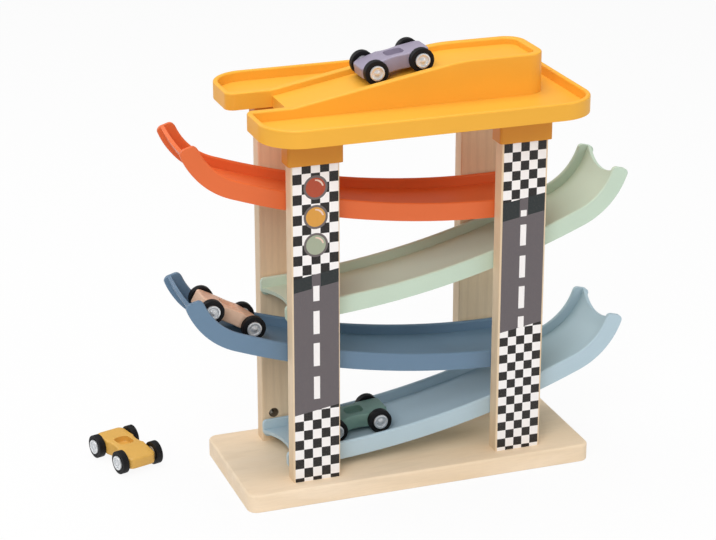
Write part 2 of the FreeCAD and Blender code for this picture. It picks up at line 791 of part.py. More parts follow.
def peach_placement():
    """On the third track, its rear wheels still on the curl and its front wheels on the run."""
    angle = math.radians(d.peach_car_angle.value)
    lean = math.radians(d.track_run_angle.value)
    curl_radius = d.track_curl_radius.value
    run_centre = Vector(d.track_flat.value, 0, d.track_run_radius.value)
    curl_centre = Vector(
        RUN_END_X.value - curl_radius * math.sin(lean), 0, RUN_END_Z.value + curl_radius * math.cos(lean)
    )
    rear = curl_centre + Vector(math.sin(angle), 0, -math.cos(angle)) * wheel_circle(d.track_curl_radius)
    run_circle = wheel_circle(d.track_run_radius)
    arm = rear - run_centre
    base = d.wheelbase.value
    spread = math.acos((arm.Length ** 2 + run_circle ** 2 - base ** 2) / (2 * arm.Length * run_circle))
    front_angle = math.atan2(arm.x, -arm.z) - spread
    front = run_centre + Vector(math.sin(front_angle), 0, -math.cos(front_angle)) * run_circle
    forward = (front - rear).normalize()
    up = Vector(forward.z, 0, -forward.x)
    local = upright_placement((front + rear) / 2 - up * WHEEL_RADIUS.value, forward, up)
    return TRACKS[2].placement() * local


def yellow_placement():
    """On the floor beside the stand."""
    heading = math.radians(d.yellow_car_heading.value)
    forward = Vector(math.cos(heading), math.sin(heading), 0)
    origin = Vector(d.yellow_car_x.value, d.yellow_car_y.value, 0)
    return upright_placement(origin, forward, Vector(0, 0, 1))


def make_car_body(label, placement):
    body = new_body(label, placement)
    half_length = d.car_length / 2
    low, high = d.car_body_lift, d.car_tail_height
    side = new_sketch(body, "side", "XZ_Plane")
    draw(side, [
        (-half_length, low), (half_length, low), (half_length, d.car_nose_height),
        (half_length - d.car_bonnet_length, high), (-half_length, high),
    ])
    block = pad(body, side, d.car_body_width, both_ways=True)
    block = fillet(body, block, edges_where(block, is_upright), d.car_corner_radius)
    lowest_top = d.car_nose_height.value - SAME_PLACE
    rim = edges_where(block, lambda edge: edge.BoundBox.ZMin > lowest_top and not is_across(edge))
    block = fillet(body, block, rim, d.car_edge_radius)

    cockpit = new_sketch(body, "cockpit", "XY_Plane", high)
    front = half_length - d.car_bonnet_length - d.cockpit_setback
    half_width = d.cockpit_width / 2
    draw_box(
        cockpit, front - d.cockpit_length, front, -half_width, half_width,
        d.cockpit_radius, d.cockpit_radius,
    )
    pocket(body, cockpit, d.cockpit_depth)

    waist = new_sketch(body, "waist", "XY_Plane", high)
    half_waist, depth = d.car_waist_length / 2, d.car_waist_depth
    radius = (half_waist * half_waist + depth * depth) / (2 * depth)
    for hand in (-1, 1):
        edge = hand * CAR_HALF
        draw(waist, [
            (-hand * half_waist, edge), (hand * half_waist, edge, radius),
            (hand * half_waist, edge + hand * CUT_MARGIN), (-hand * half_waist, edge + hand * CUT_MARGIN),
        ])
    pocket(body, waist, high)

    bores = new_sketch(body, "axle_bores", "XZ_Plane")
    for end in (-1, 1):
        bore = d.axle_diameter + 2 * d.axle_clearance
        draw_circle(bores, end * d.wheelbase / 2, WHEEL_RADIUS, bore)
    pocket(body, bores, 2 * d.car_body_width, both_ways=True)


def is_across(edge):
    return edge.BoundBox.YLength > SAME_PLACE and edge.BoundBox.XLength < SAME_PLACE


def make_axle(label, placement):
    body = new_body(label, placement)
    rod = new_sketch(body, "rod", "XZ_Plane")
    draw_circle(rod, 0, 0, d.axle_diameter)
    pad(body, rod, 2 * AXLE_END_Y, both_ways=True)


def spin_pair(body, sketch):
    """Turn a sketch round the axle line and repeat it at the other end of the axle."""
    wheel = body.newObject("PartDesign::Revolution", sketch.Name + "_turned")
    wheel.Profile = sketch
    wheel.ReferenceAxis = (origin_feature(body, "Y_Axis"), [""])
    wheel.Angle = 360
    doc.recompute()
    mirror(body, wheel, "XZ_Plane")


def make_hubs(label, placement):
    body = new_body(label, placement)
    outer, inner = WHEEL_OUTER_Y - d.hub_recess, WHEEL_INNER_Y + d.hub_recess
    bore = d.axle_diameter / 2 + d.wheel_fit_clearance
    bore_end = AXLE_END_Y + d.wheel_fit_clearance
    dish = outer - d.hub_dish_depth
    profile = new_sketch(body, "profile", "XY_Plane")
    draw(profile, [
        (bore, inner), (d.hub_diameter / 2, inner), (d.hub_diameter / 2, outer),
        (d.hub_dish_diameter / 2, outer), (d.hub_dish_diameter / 2, dish),
        (d.hub_boss_diameter / 2, dish), (d.hub_boss_diameter / 2, outer),
        (Size.of(0), outer), (Size.of(0), bore_end), (bore, bore_end),
    ])
    spin_pair(body, profile)


def make_tyres(label, placement):
    body = new_body(label, placement)
    seat = d.hub_diameter / 2 + d.wheel_fit_clearance
    edge = d.tyre_edge_radius
    profile = new_sketch(body, "profile", "XY_Plane")
    draw(profile, [
        (seat, WHEEL_INNER_Y), (WHEEL_RADIUS - edge, WHEEL_INNER_Y),
        (WHEEL_RADIUS, WHEEL_INNER_Y + edge, edge), (WHEEL_RADIUS, WHEEL_OUTER_Y - edge),
        (WHEEL_RADIUS - edge, WHEEL_OUTER_Y, edge), (seat, WHEEL_OUTER_Y),
    ])
    spin_pair(body, profile)


def make_car(colour, placement):
    make_car_body(colour + "_car_body", placement)
    for name, end in (("front", 1), ("rear", -1)):
        centre = Vector(end * d.wheelbase.value / 2, 0, WHEEL_RADIUS.value)
        axle = placement * Placement(centre, Rotation())
        stem = colour + "_car_" + name
        make_axle(stem + "_axle", axle)
        make_hubs(stem + "_hubs", axle)
        make_tyres(stem + "_tyres", axle)


def write_parts():
    """Check the whole document, then write each piece under its own name."""
    doc.recompute()
    for item in doc.Objects:
        if "Invalid" in item.State or "Error" in item.State:
            raise ValueError(item.Name + " failed: " + str(item.State))
    for piece in pieces:
        if not (piece.Shape.Solids and piece.Shape.isValid()):
            raise ValueError(piece.Label + " has no valid solid")
    os.makedirs("parts", exist_ok=True)
    for piece in pieces:
        piece.Shape.exportStep("parts/" + piece.Label + ".step")
        box = piece.Shape.BoundBox
        corners = [round(value, 1) for value in (box.XMin, box.YMin, box.ZMin, box.XMax, box.YMax, box.ZMax)]
        print(piece.Label, len(piece.Shape.Solids), round(piece.Shape.Volume, 1), corners)


make_base_board()
make_base_screws()
for track in TRACKS:
    make_track(track)
for side_name, side in (("front", -1), ("back", 1)):
    for end_name, end in (("left", -1), ("right", 1)):
        make_post(side_name + "_" + end_name + "_post", end, side)
make_top_deck()
make_car("violet", violet_placement())
make_car("peach", peach_placement())
make_car("green", green_placement())
make_car("yellow", yellow_placement())
write_parts()
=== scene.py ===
"""Looks of a wooden toy car ramp: its wood, its printed posts, its moulded tracks and deck, and its cars.

Lengths are in metres in the model's own frame: X runs along the base board, Y from the printed
posts to the back posts, and Z up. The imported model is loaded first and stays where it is.
"""

from __future__ import annotations

import json
import logging
import math
from dataclasses import dataclass
from enum import Enum
from typing import Callable, Iterable, Sequence

import bpy
from mathutils import Euler, Matrix, Vector

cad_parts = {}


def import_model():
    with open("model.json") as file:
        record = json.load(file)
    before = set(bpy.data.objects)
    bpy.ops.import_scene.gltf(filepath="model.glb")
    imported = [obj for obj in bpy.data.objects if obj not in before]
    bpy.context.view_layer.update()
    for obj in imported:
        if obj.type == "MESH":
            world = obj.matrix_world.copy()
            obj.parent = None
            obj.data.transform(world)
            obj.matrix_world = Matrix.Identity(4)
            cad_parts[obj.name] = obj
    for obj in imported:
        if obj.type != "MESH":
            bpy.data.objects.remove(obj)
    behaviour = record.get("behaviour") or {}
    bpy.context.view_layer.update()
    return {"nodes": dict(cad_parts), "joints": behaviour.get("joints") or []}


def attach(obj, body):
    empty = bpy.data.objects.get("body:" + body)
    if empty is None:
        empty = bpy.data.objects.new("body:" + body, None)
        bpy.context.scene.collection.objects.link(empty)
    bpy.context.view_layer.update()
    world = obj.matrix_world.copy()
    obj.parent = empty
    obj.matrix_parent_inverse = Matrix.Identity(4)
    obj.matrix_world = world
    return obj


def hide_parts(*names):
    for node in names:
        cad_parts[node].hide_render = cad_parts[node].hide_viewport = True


LOG = logging.getLogger("toy_car_ramp")
MM = 0.001
TINY = 1e-5
SQUARE_ON = 0.9

CAR_PLACE = "car_place"

# The spare socket's centre on the back left post, round which the post wood gets painted shade, and the
# height that the deck's collars hang from, below which the deck gets painted shade
SPARE_SOCKET = (-95.0 * MM, 37.5 * MM, 39.0 * MM)
DECK_UNDERSIDE = 301.4 * MM

Colour = tuple[float, float, float]
Pairs = tuple[tuple[float, float], ...]
Test = Callable[[Vector, Vector], bool]


class Axis(Enum):
    """One of the three directions of the frame."""

    X = Vector((1.0, 0.0, 0.0))
    Y = Vector((0.0, 1.0, 0.0))
    Z = Vector((0.0, 0.0, 1.0))


class Part(Enum):
    """What is picked on a mesh."""

    POINT = "VERT"
    EDGE = "EDGE"
    FACE = "FACE"


class Tone(Enum):
    """The inks of the road and the chequers, by their slot on a print."""

    WHITE = 0
    BLACK = 1
    ROAD = 2
    BAND = 3


def ink(red: int, green: int, blue: int) -> Colour:
    """Turn a colour as a screen shows it into the linear one that a shader takes.

    Args:
        red: Red, from 0 to 255.
        green: Green, from 0 to 255.
        blue: Blue, from 0 to 255.

    Returns:
        The three linear parts.
    """
    parts = (red / 255, green / 255, blue / 255)
    return tuple(p / 12.92 if p <= 0.04045 else ((p + 0.055) / 1.055) ** 2.4 for p in parts)


def shade(colour: Sequence[float], factor: float) -> Colour:
    """Make a linear colour lighter or darker.

    Args:
        colour: The linear colour.
        factor: What each part is multiplied by.

    Returns:
        The new colour, held under full white.
    """
    return tuple(min(part * factor, 0.95) for part in colour[:3])


# Shaping by hand

class Workpiece:
    """A mesh that is shaped with Blender's own edit-mode tools."""

    def __init__(self, thing: bpy.types.Object) -> None:
        """Take over an object.

        Args:
            thing: The mesh object to shape.
        """
        self.thing = thing

    @staticmethod
    def clear_selection() -> None:
        """Deselect every object, so that an operator acts on one piece only."""
        if bpy.context.mode != "OBJECT":
            bpy.ops.object.mode_set(mode="OBJECT")
        bpy.ops.object.select_all(action="DESELECT")

    @classmethod
    def _take(cls, name: str) -> "Workpiece":
        """Name the primitive that was just added and put its place into its mesh.

        Args:
            name: The piece's name.

        Returns:
            The new workpiece.
        """
        thing = bpy.context.object
        thing.name = thing.data.name = name
        bpy.ops.object.transform_apply(location=True, rotation=True, scale=True)
        return cls(thing)

    @classmethod
    def box(cls, name: str, low: Sequence[float], high: Sequence[float]) -> "Workpiece":
        """Add a box between two corners.

        Args:
            name: The piece's name.
            low: Lowest corner, in metres.
            high: Highest corner, in metres.

        Returns:
            The new workpiece.
        """
        cls.clear_selection()
        middle = [(a + b) / 2 for a, b in zip(low, high)]
        bpy.ops.mesh.primitive_cube_add(size=1, location=middle)
        bpy.context.object.scale = [b - a for a, b in zip(low, high)]
        return cls._take(name)

    @classmethod
    def rod(
        cls, name: str, centre: Sequence[float], radius: float, length: float, axis: Axis, sides: int = 72
    ) -> "Workpiece":
        """Add a round rod.

        Args:
            name: The piece's name.
            centre: Its middle.
            radius: Its radius.
            length: Its length along the axis.
            axis: The way it lies.
            sides: How many flats stand for the round.

        Returns:
            The new workpiece.
        """
        cls.clear_selection()
        turn = {Axis.X: (0, math.pi / 2, 0), Axis.Y: (math.pi / 2, 0, 0), Axis.Z: (0, 0, 0)}[axis]
        bpy.ops.mesh.primitive_cylinder_add(
            vertices=sides, radius=radius, depth=length, location=centre, rotation=turn
        )
        return cls._take(name)

    @classmethod
    def sheet(
        cls, name: str, left: float, right: float, low: float, high: float, y: float,
        columns: int = 1, rows: int = 1,
    ) -> "Workpiece":
        """Add an upright flat grid that faces the front.

        Args:
            name: The piece's name.
            left: Least X.
            right: Most X.
            low: Least Z.
            high: Most Z.
            y: Where it stands.
            columns: Cells along X.
            rows: Cells along Z.

        Returns:
            The new workpiece.
        """
        cls.clear_selection()
        middle = ((left + right) / 2, y, (low + high) / 2)
        bpy.ops.mesh.primitive_grid_add(
            x_subdivisions=columns, y_subdivisions=rows, size=1, location=middle,
            rotation=(math.pi / 2, 0, 0),
        )
        bpy.context.object.scale = (right - left, high - low, 1)
        return cls._take(name)

    def only(self) -> bpy.types.Object:
        """Make this piece the only selected and the active one.

        Returns:
            The piece's object.
        """
        self.clear_selection()
        self.thing.select_set(True)
        bpy.context.view_layer.objects.active = self.thing
        return self.thing

    def pick(self, part: Part, test: Test) -> int:
        """Go into edit mode with the parts selected whose middle and normal pass a test.

        Args:
            part: Points, edges or faces.
            test: Takes the middle and the normal, which for points and edges is the points' own.

        Returns:
            How many were selected.
        """
        thing = self.only()
        bpy.ops.object.mode_set(mode="EDIT")
        bpy.ops.mesh.select_mode(type=part.value)
        bpy.ops.mesh.select_all(action="DESELECT")
        bpy.ops.object.mode_set(mode="OBJECT")
        mesh, found = thing.data, 0
        if part is Part.FACE:
            for polygon in mesh.polygons:
                polygon.select = test(polygon.center, polygon.normal)
                found += polygon.select
        elif part is Part.EDGE:
            for edge in mesh.edges:
                a, b = (mesh.vertices[i] for i in edge.vertices)
                edge.select = test((a.co + b.co) / 2, b.co - a.co)
                found += edge.select
        else:
            for vertex in mesh.vertices:
                vertex.select = test(vertex.co, vertex.normal)
                found += vertex.select
        bpy.ops.object.mode_set(mode="EDIT")
        return found

    def done(self) -> "Workpiece":
        """Leave edit mode.

        Returns:
            The same workpiece.
        """
        bpy.ops.object.mode_set(mode="OBJECT")
        return self

    def slide(self, part: Part, test: Test, offset: Sequence[float]) -> "Workpiece":
        """Move the parts that pass a test.

        Args:
            part: Points, edges or faces.
            test: Takes a part's middle and normal.
            offset: How far they move.

        Returns:
            The same workpiece.
        """
        self.pick(part, test)
        bpy.ops.transform.translate(value=tuple(offset))
        return self.done()

    def stretch(
        self, part: Part, test: Test, factors: Sequence[float], centre: Sequence[float]
    ) -> "Workpiece":
        """Scale the parts that pass a test.

        Args:
            part: Points, edges or faces.
            test: Takes a part's middle and normal.
            factors: Factor along each axis.
            centre: The point that stays.

        Returns:
            The same workpiece.
        """
        self.pick(part, test)
        bpy.ops.transform.resize(value=tuple(factors), center_override=tuple(centre))
        return self.done()

    def slice(self, place: Sequence[float], axis: Axis) -> "Workpiece":
        """Add an edge loop all round where a plane cuts the piece.

        Args:
            place: A point of the plane.
            axis: The way the plane faces.

        Returns:
            The same workpiece.
        """
        self.pick(Part.FACE, lambda middle, normal: True)
        bpy.ops.mesh.bisect(plane_co=tuple(place), plane_no=tuple(axis.value))
        return self.done()

    def round_edges(self, test: Test, radius: float, segments: int) -> "Workpiece":
        """Bevel the edges that pass a test.

        Args:
            test: Takes an edge's middle and its run from end to end.
            radius: Radius of the rounding.
            segments: Flats in it.

        Returns:
            The same workpiece.
        """
        if self.pick(Part.EDGE, test):
            bpy.ops.mesh.bevel(offset=radius, offset_type="OFFSET", segments=segments, affect="EDGES")
        return self.done()

    def inset(self, test: Test, thickness: float, depth: float = 0.0) -> "Workpiece":
        """Inset the faces that pass a test and push what is inside along its normal.

        Args:
            test: Takes a face's middle and normal.
            thickness: How far the new loop lies inside the old one.
            depth: How far the inner face then moves outwards.

        Returns:
            The same workpiece.
        """
        self.pick(Part.FACE, test)
        bpy.ops.mesh.inset(thickness=thickness, depth=0.0)
        if depth:
            bpy.ops.mesh.extrude_region_shrink_fatten(
                TRANSFORM_OT_shrink_fatten={"value": depth}
            )
        return self.done()

    def cut(self, tool: "Workpiece") -> "Workpiece":
        """Cut another solid away by an applied Boolean modifier, and remove that solid.

        Args:
            tool: The other solid.

        Returns:
            The same workpiece.
        """
        thing = self.only()
        step = thing.modifiers.new("cut", "BOOLEAN")
        step.operation = "DIFFERENCE"
        step.solver = "EXACT"
        step.object = tool.thing
        bpy.ops.object.modifier_apply(modifier=step.name)
        tool.discard()
        return self

    def discard(self) -> None:
        """Remove a tool that is no longer needed."""
        bpy.data.objects.remove(self.thing)

    def soften(self, width: float, segments: int, angle: float) -> "Workpiece":
        """Round every sharp edge a little by an applied Bevel modifier.

        Args:
            width: Width of the rounding.
            segments: Flats in it.
            angle: Edges that turn by more than this, in degrees, are rounded.

        Returns:
            The same workpiece.
        """
        thing = self.only()
        step = thing.modifiers.new("soft_edges", "BEVEL")
        step.width = width
        step.segments = segments
        step.limit_method = "ANGLE"
        step.angle_limit = math.radians(angle)
        bpy.ops.object.modifier_apply(modifier=step.name)
        return self

    def tidy(self) -> "Workpiece":
        """Merge doubled points and turn every face outwards.

        Returns:
            The same workpiece.
        """
        self.pick(Part.FACE, lambda middle, normal: True)
        bpy.ops.mesh.remove_doubles(threshold=TINY)
        bpy.ops.mesh.normals_make_consistent(inside=False)
        return self.done()

    def smooth(self, angle: float) -> "Workpiece":
        """Shade smooth across the edges that turn little.

        Args:
            angle: Edges that turn by more than this, in degrees, stay sharp.

        Returns:
            The same workpiece.
        """
        self.only()
        bpy.ops.object.shade_smooth_by_angle(angle=math.radians(angle))
        return self

    def copy(self, name: str, matrix: Matrix | None = None) -> "Workpiece":
        """Copy the piece with a mesh of its own.

        Args:
            name: The copy's name.
            matrix: Where the copy's mesh goes, from the piece's own place.

        Returns:
            The copy.
        """
        twin = self.thing.copy()
        twin.data = self.thing.data.copy()
        twin.name = twin.data.name = name
        bpy.context.scene.collection.objects.link(twin)
        if matrix is not None:
            twin.data.transform(matrix)
            if matrix.determinant() < 0:
                twin.data.flip_normals()
        return Workpiece(twin)

    def join(self, others: Iterable["Workpiece"]) -> "Workpiece":
        """Make this piece and others one object.

        Args:
            others: The other pieces.

        Returns:
            The same workpiece.
        """
        self.only()
        for other in others:
            other.thing.select_set(True)
        bpy.ops.object.join()
        return self

    def name(self, name: str) -> "Workpiece":
        """Name the piece and its mesh, and return the workpiece."""
        self.thing.name = self.thing.data.name = name
        return self

    def dress(self, *materials: bpy.types.Material) -> "Workpiece":
        """Give the piece its materials.

        Args:
            materials: The materials, in the order of the piece's slots.

        Returns:
            The same workpiece.
        """
        for material in materials:
            self.thing.data.materials.append(material)
        return self

    def paint_all(self, number: int) -> "Workpiece":
        """Give every face the material of one slot.

        Args:
            number: The slot's number.

        Returns:
            The same workpiece.
        """
        for polygon in self.thing.data.polygons:
            polygon.material_index = number
        return self

    def keep_place(self, name: str) -> "Workpiece":
        """Store where each point is before the piece is moved, so that a pattern follows it.

        Args:
            name: The attribute's name.

        Returns:
            The same workpiece.
        """
        mesh = self.thing.data
        store = mesh.attributes.new(name, "FLOAT_VECTOR", "POINT")
        numbers = [0.0] * (3 * len(mesh.vertices))
        mesh.vertices.foreach_get("co", numbers)
        store.data.foreach_set("vector", numbers)
        return self

    def place(self, body: str, slot: str, *nodes: str) -> "Workpiece":
        """Let the finished piece ride on a body and stand for the nodes that it replaces.

        Args:
            body: The body's name.
            slot: The record's material slot; not used.
            nodes: The nodes that it stands for.

        Returns:
            The same workpiece.
        """
        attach(self.thing, body)
        if nodes:
            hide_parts(*nodes)
        LOG.info("%s: %d faces", self.thing.name, len(self.thing.data.polygons))
        return self


# Finishes

class Recipe:
    """The nodes of one procedural material, added one at a time."""

    def __init__(self, name: str) -> None:
        """Start a material.

        Args:
            name: The material's name.
        """
        self.material = bpy.data.materials.new(name)
        self.material.use_nodes = True
        self.tree = self.material.node_tree
        self.tree.nodes.clear()
        self.output = self.tree.nodes.new("ShaderNodeOutputMaterial")
        self.coat = self.tree.nodes.new("ShaderNodeBsdfPrincipled")
        self.link(self.coat.outputs[0], self.output.inputs["Surface"])

    def link(self, source: bpy.types.NodeSocket, target: bpy.types.NodeSocket) -> None:
        """Join two sockets."""
        self.tree.links.new(source, target)

    def node(self, kind: str, **inputs: object) -> bpy.types.Node:
        """Add a node and fill its inputs.

        Args:
            kind: The node's type after ShaderNode.
            inputs: Values or sockets by input name, with underscores for spaces.

        Returns:
            The new node.
        """
        made = self.tree.nodes.new("ShaderNode" + kind)
        for name, value in inputs.items():
            socket = made.inputs[name.replace("_", " ")]
            if isinstance(value, bpy.types.NodeSocket):
                self.link(value, socket)
            elif isinstance(value, tuple) and len(value) == 3 and socket.type == "RGBA":
                socket.default_value = (*value, 1.0)
            else:
                socket.default_value = value
        return made

    def place(
        self, scale: Sequence[float] = (1, 1, 1), turn: Sequence[float] = (0, 0, 0)
    ) -> bpy.types.NodeSocket:
        """Where a point is on the object, stretched and turned.

        Args:
            scale: Factor along each axis.
            turn: Turn about each axis, in degrees.

        Returns:
            The mapped coordinates.
        """
        where = self.node("TexCoord").outputs["Object"]
        mapping = self.node("Mapping", Vector=where)
        mapping.inputs["Scale"].default_value = scale
        mapping.inputs["Rotation"].default_value = [math.radians(angle) for angle in turn]
        return mapping.outputs[0]

    def noise(
        self, where: bpy.types.NodeSocket, scale: float, detail: float = 2.0, rough: float = 0.5
    ) -> bpy.types.NodeSocket:
        """Soft random value from 0 to 1 at a place.

        Args:
            where: Coordinates.
            scale: Cells per metre.
            detail: Finer layers added.
            rough: How strong those are.

        Returns:
            The value.
        """
        return self.node("TexNoise", Vector=where, Scale=scale, Detail=detail, Roughness=rough).outputs["Fac"]

    def spread(
        self, value: bpy.types.NodeSocket, low: float, high: float, start: float, end: float
    ) -> bpy.types.NodeSocket:
        """Map a value, and hold it at both ends.

        Args:
            value: The value.
            low: Where the change begins.
            high: Where it ends.
            start: The result up to there.
            end: The result from there on.

        Returns:
            The mapped value.
        """
        made = self.node("MapRange", Value=value)
        for name, number in (("From Min", low), ("From Max", high), ("To Min", start), ("To Max", end)):
            made.inputs[name].default_value = number
        return made.outputs[0]

    def blend(self, factor: object, first: object, second: object) -> bpy.types.NodeSocket:
        """Mix two colours or values.

        Args:
            factor: Share of the second, a number or a socket.
            first: The first.
            second: The second.

        Returns:
            The mix.
        """
        made = self.tree.nodes.new("ShaderNodeMix")
        made.data_type = "RGBA"
        for socket, value in ((made.inputs[0], factor), (made.inputs[6], first), (made.inputs[7], second)):
            if isinstance(value, bpy.types.NodeSocket):
                self.link(value, socket)
            elif isinstance(value, tuple):
                socket.default_value = (*value[:3], 1.0)
            else:
                socket.default_value = value
        return made.outputs[2]

    def tint(
        self, tone: object, by: bpy.types.NodeSocket, low: float, high: float, share: float, colour: Colour
    ) -> bpy.types.NodeSocket:
        """Mix a colour in where a value rises.

        Args:
            tone: The colour so far.
            by: The value.
            low: Up to this value nothing of the new colour shows.
            high: From this value on its whole share shows.
            share: The most of it that shows.
            colour: The new colour.

        Returns:
            The mixed colour.
        """
        return self.blend(self.spread(by, low, high, 0.0, share), tone, colour)

    def surface(
        self, tone: bpy.types.NodeSocket, by: bpy.types.NodeSocket, span: tuple[float, float],
        roughness: tuple[float, float],
    ) -> None:
        """Give the shader its colour, and a roughness that follows a value.

        Args:
            tone: The colour.
            by: The value.
            span: Where the roughness begins and ends to change.
            roughness: The roughness there.
        """
        self.link(tone, self.coat.inputs["Base Color"])
        self.link(self.spread(by, *span, *roughness), self.coat.inputs["Roughness"])

    def bump(self, height: bpy.types.NodeSocket, strength: float, depth: float) -> None:
        """Give the surface relief from a height.

        Args:
            height: Height from 0 to 1.
            strength: How much of it shows.
            depth: What a height of 1 stands for, in metres.
        """
        made = self.node("Bump", Height=height, Strength=strength, Distance=depth)
        self.link(made.outputs[0], self.coat.inputs["Normal"])

    def settle(self, **numbers: float) -> bpy.types.Material:
        """Set constants on the shader's own sockets.

        Args:
            numbers: Values by socket name, with underscores for spaces.

        Returns:
            The material.
        """
        for name, number in numbers.items():
            self.coat.inputs[name.replace("_", " ")].default_value = number
        return self.material


@dataclass(frozen=True)
class Wood:
    """Fine sanded pale wood with a clear matt finish, and painted shade in and round a socket bored in it
    where one is given.
    """

    name: str
    pale: Colour
    warm: Colour
    grain: Axis
    roughness: float = 0.52
    socket: tuple[float, float, float] | None = None
    socket_shade_reach: float = 5.02 * MM

    def along(
        self, recipe: Recipe, lengthwise: float, across: float, turn: Sequence[float] = (0, 0, 0)
    ) -> bpy.types.NodeSocket:
        """Coordinates that are scaled by the way of the grain.

        Args:
            recipe: The material's nodes.
            lengthwise: Factor along the grain.
            across: Factor across it.
            turn: Turn about each axis, in degrees.

        Returns:
            The mapped coordinates.
        """
        return recipe.place([lengthwise if part else across for part in self.grain.value], turn)

    def socket_shade_share(self, recipe: Recipe) -> bpy.types.NodeSocket:
        """How much painted shade a point gets in and round the bored socket.

        Args:
            recipe: The material's nodes.

        Returns:
            The share, 1 within reach of the socket's centre and 0 outside.
        """
        offset = recipe.place()
        offset.node.inputs["Location"].default_value = [-part for part in self.socket]
        distance = recipe.node("VectorMath", Vector=offset)
        distance.operation = "LENGTH"
        reach, past = self.socket_shade_reach, self.socket_shade_reach * 1.001
        return recipe.spread(distance.outputs["Value"], reach, past, 1.0, 0.0)

    def material(self) -> bpy.types.Material:
        """Build the material.

        Returns:
            The material.
        """
        recipe = Recipe(self.name)
        cloud = recipe.noise(self.along(recipe, 0.5, 2.2), scale=14.0, detail=3.0)
        rings = recipe.node(
            "TexWave", Vector=self.along(recipe, 0.35, 5.0, turn=(8, 5, 3)),
            Scale=9.0, Distortion=7.0, Detail=2.0, Detail_Scale=1.2,
        )
        fibre = recipe.noise(self.along(recipe, 1.0, 11.0), scale=95.0, detail=6.0, rough=0.65)
        pores = recipe.noise(self.along(recipe, 4.0, 60.0), scale=40.0, rough=0.6)
        tone = recipe.tint(self.pale, cloud, 0.3, 0.7, 1.0, self.warm)
        tone = recipe.tint(tone, rings.outputs["Fac"], 0.55, 1.0, 0.28, shade(self.warm, 0.86))
        tone = recipe.tint(tone, fibre, 0.42, 0.72, 0.22, shade(self.warm, 0.78))
        tone = recipe.tint(tone, pores, 0.66, 0.78, 0.30, shade(self.warm, 0.55))
        # Painted shade: the wood turns much darker in and round the bored socket
        if self.socket:
            tone = recipe.blend(self.socket_shade_share(recipe), tone, shade(self.warm, 0.25))
        recipe.surface(tone, fibre, (0.2, 0.8), (self.roughness - 0.06, self.roughness + 0.08))
        recipe.bump(fibre, strength=0.16, depth=0.3 * MM)
        return recipe.settle(Specular_IOR_Level=0.42)


@dataclass(frozen=True)
class Moulding:
    """Satin moulded plastic with its tool's faint grain, and painted shade on its foot, below a given height,
    where one is given.
    """

    name: str
    colour: Colour
    roughness: float = 0.42
    gloss: float = 0.3
    foot: float | None = None
    foot_shade_tone: tuple[float, float, float] = (0.76, 0.65, 0.66)
    foot_shade_fade: float = 2.0 * MM

    def material(self) -> bpy.types.Material:
        """Build the material.

        Returns:
            The material.
        """
        recipe = Recipe(self.name)
        where = recipe.place()
        cloud = recipe.noise(where, scale=16.0)
        speck = recipe.noise(where, scale=900.0, rough=0.6)
        tone = recipe.tint(self.colour, cloud, 0.3, 0.7, 1.0, shade(self.colour, 0.94))
        tone = recipe.tint(tone, speck, 0.35, 0.8, 0.08, shade(self.colour, 1.25))
        # Painted shade: below the foot height the colour turns darker, as shade under an overhang
        if self.foot is not None:
            height = recipe.node("SeparateXYZ", Vector=where).outputs["Z"]
            low = recipe.spread(height, self.foot - self.foot_shade_fade, self.foot, 1.0, 0.0)
            shaded_foot = tuple(part * share for part, share in zip(self.colour, self.foot_shade_tone))
            tone = recipe.blend(low, tone, shaded_foot)
        recipe.surface(tone, cloud, (0.25, 0.75), (self.roughness - 0.03, self.roughness + 0.05))
        relief = recipe.blend(0.3, speck, recipe.noise(where, scale=120.0))
        recipe.bump(relief, strength=0.05, depth=0.2 * MM)
        return recipe.settle(Specular_IOR_Level=self.gloss)


@dataclass(frozen=True)
class Paint:
    """Satin paint over fine wood: the grain just shows through it, and edges are a little worn."""

    name: str
    colour: Colour

    def material(self) -> bpy.types.Material:
        """Build the material on the car's own coordinates.

        Returns:
            The material.
        """
        recipe = Recipe(self.name)
        own = recipe.node("Attribute")
        own.attribute_name = CAR_PLACE
        grain = recipe.node("Mapping", Vector=own.outputs["Vector"], Scale=(1.0, 9.0, 9.0))
        fibre = recipe.noise(grain.outputs[0], scale=130.0, detail=5.0, rough=0.6)
        cloud = recipe.noise(own.outputs["Vector"], scale=60.0)
        edge = recipe.node("NewGeometry").outputs["Pointiness"]
        tone = recipe.tint(self.colour, cloud, 0.3, 0.7, 1.0, shade(self.colour, 0.93))
        tone = recipe.tint(tone, fibre, 0.5, 0.8, 0.22, shade(self.colour, 0.74))
        tone = recipe.tint(tone, edge, 0.53, 0.60, 0.22, shade(self.colour, 1.35))
        recipe.surface(tone, fibre, (0.2, 0.8), (0.34, 0.46))
        recipe.bump(fibre, strength=0.12, depth=0.2 * MM)
        return recipe.settle(Specular_IOR_Level=0.5)


@dataclass(frozen=True)
class Ink:
    """Printing ink on wood, with the grain faintly under it."""

    name: str
    colour: Colour
    bare: Colour = ink(225, 205, 180)

    def material(self) -> bpy.types.Material:
        """Build the material.

        Returns:
            The material.
        """
        recipe = Recipe(self.name)
        fibre = recipe.noise(recipe.place((12.0, 12.0, 1.0)), scale=90.0, detail=5.0, rough=0.6)
        speck = recipe.noise(recipe.place(), scale=1500.0, detail=1.0)
        tone = recipe.tint(self.colour, fibre, 0.45, 0.8, 0.14, shade(self.colour, 0.72))
        tone = recipe.tint(tone, speck, 0.55, 0.8, 0.08, self.bare)
        recipe.surface(tone, fibre, (0.2, 0.8), (0.40, 0.52))
        recipe.bump(fibre, strength=0.10, depth=0.2 * MM)
        return recipe.settle(Specular_IOR_Level=0.45)


